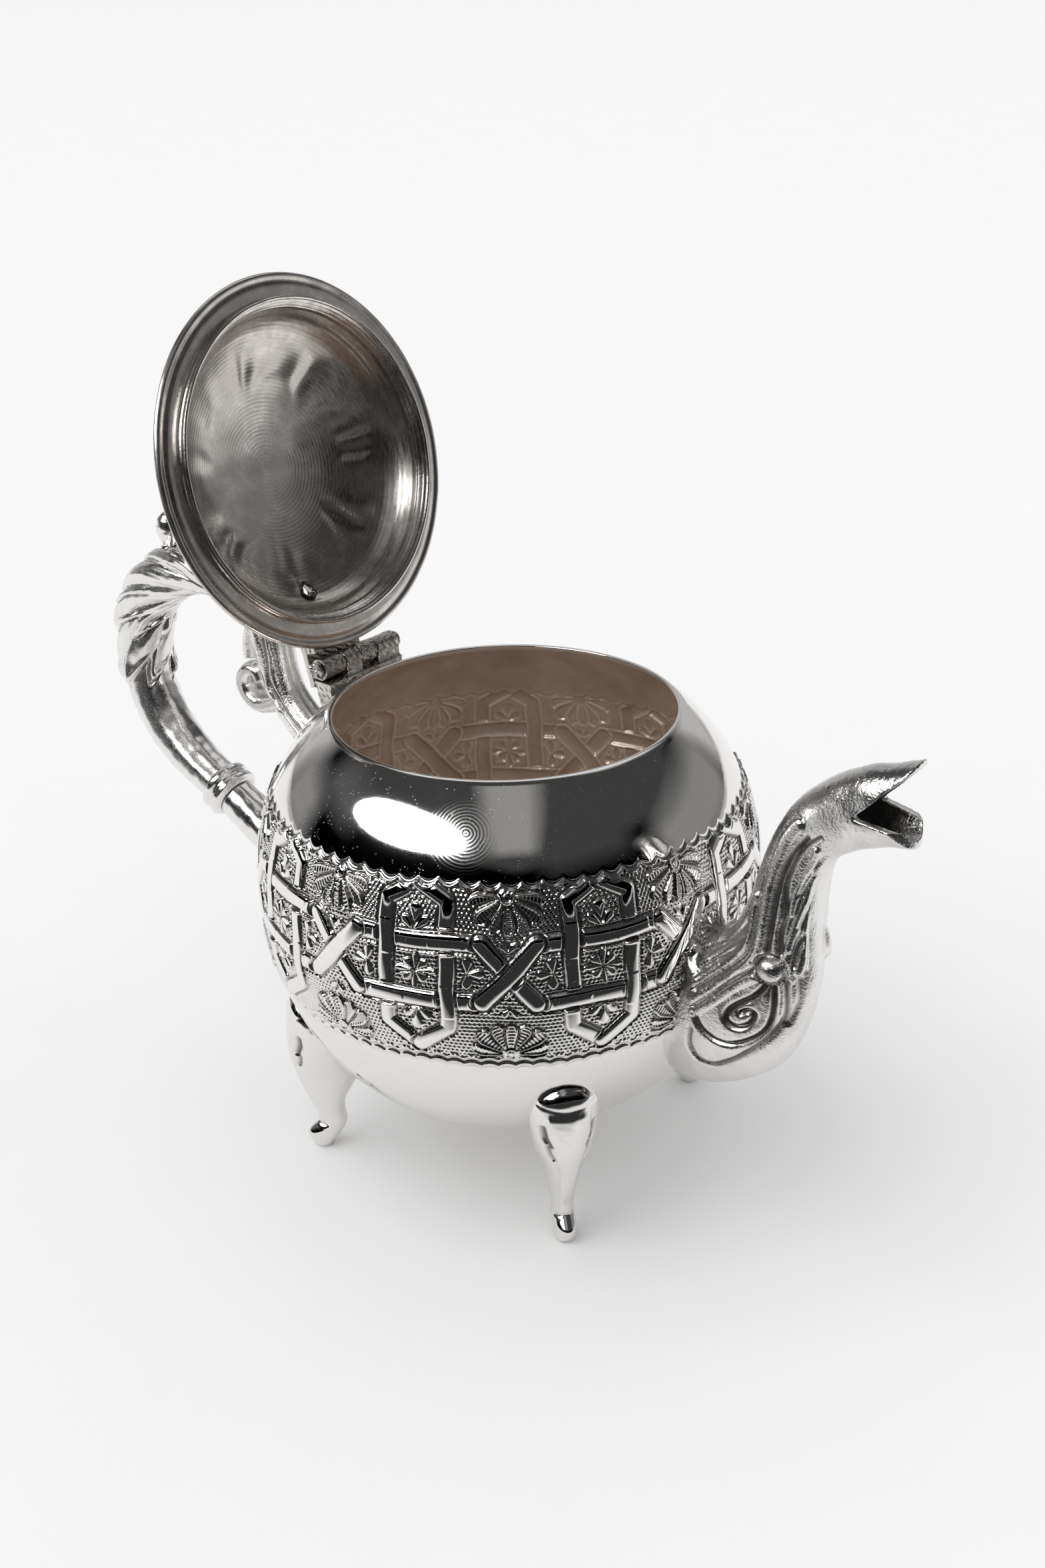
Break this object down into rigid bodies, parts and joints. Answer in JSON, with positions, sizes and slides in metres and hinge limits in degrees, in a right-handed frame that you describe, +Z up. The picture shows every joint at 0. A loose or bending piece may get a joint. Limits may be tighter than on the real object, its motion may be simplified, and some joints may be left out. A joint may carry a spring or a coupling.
{
  "type": "teapot with hinged lid",
  "caption": "Footed silver-plated metal teapot with a chased band, a cast beaked spout, a scrolled handle and a hinged lid standing open.",
  "frame": {"origin": "the middle of the whole pot's box at table height, with the lid open; the bowl's own axis is 10.1 mm towards +X from it", "axes": "+X from the handle to the spout, +Z up, +Y to the left when looking along the spout; the lid is stored resting open, 105.6 degrees from shut"},
  "size_m": [0.1808, 0.088, 0.153],
  "materials": {
    "plated_sheet": "silver-plated, mirror bright outside with a textured band, matt and brownish inside",
    "plated_casting": "silver-plated casting, slightly grainy with bright high spots",
    "filed_metal": "filed, dull, darkened in the recesses",
    "pin_wire": "peened wire",
    "lid_sheet": "plated, satin grey inside with a bright rolled edge"
  },
  "bodies": {
    "pot": {"body_shell": "plated_sheet", "spout": "plated_casting", "foot_front": "plated_casting", "foot_left": "plated_casting", "foot_right": "plated_casting", "foot_rear": "plated_casting", "handle_grip": "plated_casting", "handle_scroll": "plated_casting", "handle_collar": "plated_casting", "handle_socket": "plated_casting", "thumb_knob": "plated_casting", "hinge_base": "filed_metal", "hinge_pin": "pin_wire", "hinge_washer": "filed_metal"},
    "lid": {"hinge_lid_leaf": "filed_metal", "lid_dome": "lid_sheet", "lid_bezel": "lid_sheet", "lid_finial": "plated_casting", "finial_collar": "plated_casting"}
  },
  "joints": [
    {"name": "lid_hinge", "type": "hinge", "parent": "pot", "child": "lid", "pos_m": [-0.0258, 0, 0.0863], "axis": [0, 1, 0], "range_deg": [0, 105.6]}
  ]
}
